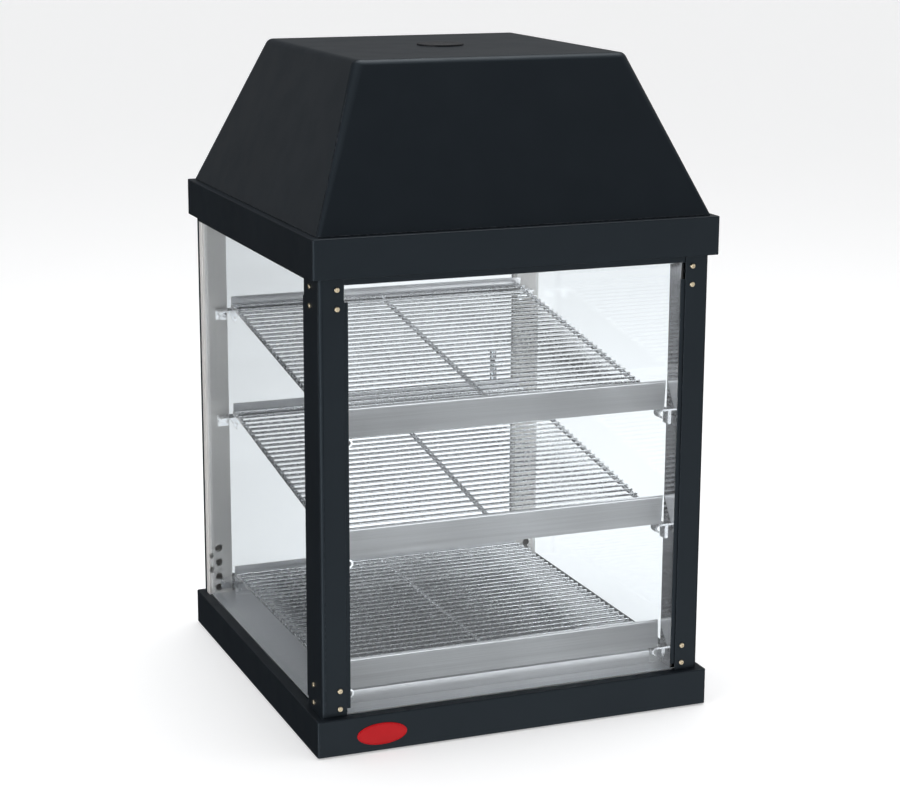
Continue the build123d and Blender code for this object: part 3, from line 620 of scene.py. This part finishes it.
def tube_along(points, radius, closed=False, sides=10):
    """Round wire through the points."""
    form = bmesh.new()
    count = len(points)
    rings = []
    side = None
    for k, point in enumerate(points):
        before = points[(k - 1) % count] if closed or k > 0 else point
        after = points[(k + 1) % count] if closed or k < count - 1 else point
        ahead = (after - before).normalized()
        side = (side - ahead * side.dot(ahead)).normalized() if side else ahead.orthogonal().normalized()
        other = ahead.cross(side)
        rings.append([])
        for turn in circle(sides):
            spoke = side * math.cos(turn) + other * math.sin(turn)
            rings[-1].append(form.verts.new(point + radius * spoke))
    join_rings(form, rings, closed)
    if not closed:
        form.faces.new(rings[0][::-1])
        form.faces.new(rings[-1])
    bmesh.ops.recalc_face_normals(form, faces=form.faces)
    return form


def panel_axes(point, turned=0.0):
    """Point, and right, up and outward directions on the hood's back, turned by radians about right."""
    outward = -Vector(joint_of["thermostat_turn"]["axis"]).normalized()
    right = Vector((-1, 0, 0))
    up = outward.cross(right).normalized()
    turn = Matrix.Rotation(turned, 3, right)
    return Vector(point), right, turn @ up, turn @ outward


def slab(form, axes, spot, size, angle=0.0):
    """Adds a thin raised bar, bevelled, to form; spot and size run right, up and outward."""
    point, right, up, outward = axes
    across = right * math.cos(angle) + up * math.sin(angle)
    along = outward.cross(across)
    centre = point + right * spot[0] + up * spot[1] + outward * spot[2]
    made = bmesh.ops.create_cube(form, size=1.0)["verts"]
    for vert in made:
        x, y, z = vert.co.x * size[0], vert.co.y * size[1], vert.co.z * size[2]
        vert.co = centre + (across * x + along * y + outward * z)
    edges = list({edge for vert in made for edge in vert.link_edges})
    bmesh.ops.bevel(
        form, geom=edges, offset=min(size) * 0.3, segments=2, profile=0.5, affect="EDGES",
    )


def dial_scale():
    """Ticks round the thermostat knob, longer towards hot, with a bar at the off position."""
    joint = joint_of["thermostat_turn"]
    axes = panel_axes(joint["pos_m"])
    full_turn = math.radians(joint["range_deg"][1])
    form = bmesh.new()
    ticks = 11
    for k in range(ticks):
        turn = full_turn * k / (ticks - 1)
        length = (5.0 if k == 0 else 1.8 + 0.25 * k) * MM
        width = (1.4 if k == 0 else 0.7) * MM
        reach = 20.0 * MM + length / 2
        spot = (reach * math.sin(turn), reach * math.cos(turn), 1.05 * MM)
        slab(form, axes, spot, (width, length, 0.12 * MM), -turn)
    add_piece("dial_scale", form, "cabinet", "print_white", "nylon")


def knob_pointer():
    axes = panel_axes(joint_of["thermostat_turn"]["pos_m"])
    form = bmesh.new()
    slab(form, axes, (0, 9.5 * MM, 17.02 * MM), (1.2 * MM, 8.4 * MM, 0.16 * MM))
    add_piece("knob_pointer", form, "thermostat_dial", "print_white", "nylon")


ROCKER_MARK_OUT = 6.2 * MM     # from the rocker's pivot to either mark
ROCKER_FACE_TILT = math.atan2(2.0, 10.5)
ROCKER_LIFT = 0.6 * math.cos(ROCKER_FACE_TILT) * MM


def rocker_axes(end):
    """Axes on the rocker's face at its on end (1) or its off end (-1)."""
    joint = joint_of["power_rock"]
    tilt = math.radians(joint["range_deg"][1]) / 2
    return panel_axes(joint["pos_m"], tilt + end * ROCKER_FACE_TILT)


def rocker_bar():
    form = bmesh.new()
    slab(form, rocker_axes(1), (0, ROCKER_MARK_OUT, ROCKER_LIFT), (0.9 * MM, 5.0 * MM, 0.12 * MM))
    add_piece("rocker_bar", form, "power_rocker", "print_white", "nylon")


def rocker_ring():
    point, right, up, outward = rocker_axes(-1)
    centre = point - up * ROCKER_MARK_OUT + outward * ROCKER_LIFT
    ring = [centre + 2.3 * MM * (right * math.cos(t) + up * math.sin(t)) for t in circle(40)]
    form = tube_along(ring, 0.22 * MM, closed=True, sides=8)
    add_piece("rocker_ring", form, "power_rocker", "print_white", "nylon")


def badge():
    """Oval badge with a low domed face, and a narrow raised border round it."""
    low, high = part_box("badge")
    centre = (low + high) / 2
    half_x = (high.x - low.x) / 2
    half_z = (high.z - low.z) / 2

    def oval(inset, depth):
        """Points of the outline moved in by inset, depth behind the badge's front."""
        wide, tall = half_x - inset, half_z - inset
        turns = [(wide * math.cos(t), tall * math.sin(t)) for t in circle(96)]
        return [Vector((centre.x + x, low.y + depth, centre.z + z)) for x, z in turns]

    outlines = [oval(0.0, high.y - low.y), oval(0.0, 0.9 * MM)]
    steps = 8
    for step in range(steps):
        reach = 1.0 - (step + 0.25) / steps
        outlines.append(oval((1.0 - reach) * half_z, 0.7 * MM * reach ** 2))
    form = bmesh.new()
    rings = [[form.verts.new(point) for point in outline] for outline in outlines]
    join_rings(form, rings)
    form.faces.new(rings[0])
    form.faces.new(rings[-1][::-1])
    bmesh.ops.recalc_face_normals(form, faces=form.faces)
    add_piece("badge_face", form, "cabinet", "red_enamel", "red_enamel", "badge")
    rim = tube_along(oval(0.8 * MM, 0.55 * MM), 0.4 * MM, closed=True)
    add_piece("badge_rim", rim, "cabinet", "red_enamel", "red_enamel")


NECK_R = 9.9 * MM              # of the lamp's glass where it enters the cap
GLASS_WALL = 0.7 * MM


def lamp_envelope(axis, globe_r, centre_z):
    """Thin glass globe, open at the neck's top."""
    outer = []
    for k in range(25):
        turn = math.radians(-90 + 150 * k / 24)
        outer.append((globe_r * math.cos(turn), centre_z + globe_r * math.sin(turn)))
    outer.append((NECK_R, centre_z + globe_r + 1.5 * MM))
    inner = [(max(radius - GLASS_WALL, 0.0), height) for radius, height in outer]
    inner[0] = (0.0, outer[0][1] + GLASS_WALL)
    form = lathe(outer + inner[::-1], axis)
    add_piece("lamp_envelope", form, "cabinet", "bulb_glass", "bulb_glass", "lamp_bulb")


def lamp_cap(axis, bottom, top):
    """Screw cap with five turns of thread and a contact at its top."""
    profile = [(0.0, top), (3.2 * MM, top), (3.2 * MM, top - 1.2 * MM), (NECK_R - 1.2 * MM, top - 2.0 * MM)]
    thread_top = top - 3.0 * MM
    steps = 24
    for k in range(steps + 1):
        wave = 0.5 * MM * math.cos(2 * math.pi * 5 * k / steps)
        profile.append((NECK_R - 0.9 * MM + wave, thread_top + (bottom - thread_top) * k / steps))
    profile.append((0.0, bottom))
    add_piece("lamp_cap", lathe(profile, axis), "cabinet", "brass_screw", "brass_screw")


def lamp_filament(axis, coil_z):
    coil_r = 0.9 * MM
    coil = []
    for k in range(161):
        x = axis.x + (k / 160 - 0.5) * 16 * MM
        coil.append(Vector((x, axis.y + coil_r * math.cos(k), coil_z + coil_r * math.sin(k))))
    form = tube_along(coil, 0.12 * MM, sides=6)
    add_piece("lamp_filament", form, "cabinet", "filament", "motor_steel")


def lamp_lead(name, side, axis, coil_z, cap_z):
    """Lead from one end of the filament up into the cap."""
    foot = Vector((axis.x + side * 8 * MM, axis.y, coil_z))
    bend = foot + Vector((-side * 1 * MM, 0, 6 * MM))
    head = Vector((axis.x + side * 2 * MM, axis.y, cap_z + 0.5 * MM))
    form = tube_along([foot, bend, head], 0.35 * MM, sides=8)
    add_piece(name, form, "cabinet", "filament", "motor_steel")


def lamp():
    """Glass envelope with its screw cap, leads and coiled filament in place of the plain bulb."""
    low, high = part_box("lamp_bulb")
    axis = Vector(((low.x + high.x) / 2, (low.y + high.y) / 2, 0))
    globe_r = (high.x - low.x) / 2
    centre_z = low.z + globe_r
    cap_z = centre_z + globe_r + 1.0 * MM
    coil_z = centre_z + 1.0 * MM
    lamp_envelope(axis, globe_r, centre_z)
    lamp_cap(axis, cap_z, high.z)
    lamp_filament(axis, coil_z)
    lamp_lead("lamp_lead_left", -1, axis, coil_z, cap_z)
    lamp_lead("lamp_lead_right", 1, axis, coil_z, cap_z)


make_camera()
make_studio()
finishes = make_finishes()
for name, obj in nodes.items():
    paint(obj, finish_for(name))
ease_sheet_metal()
dial_scale()
knob_pointer()
rocker_bar()
rocker_ring()
badge()
lamp()
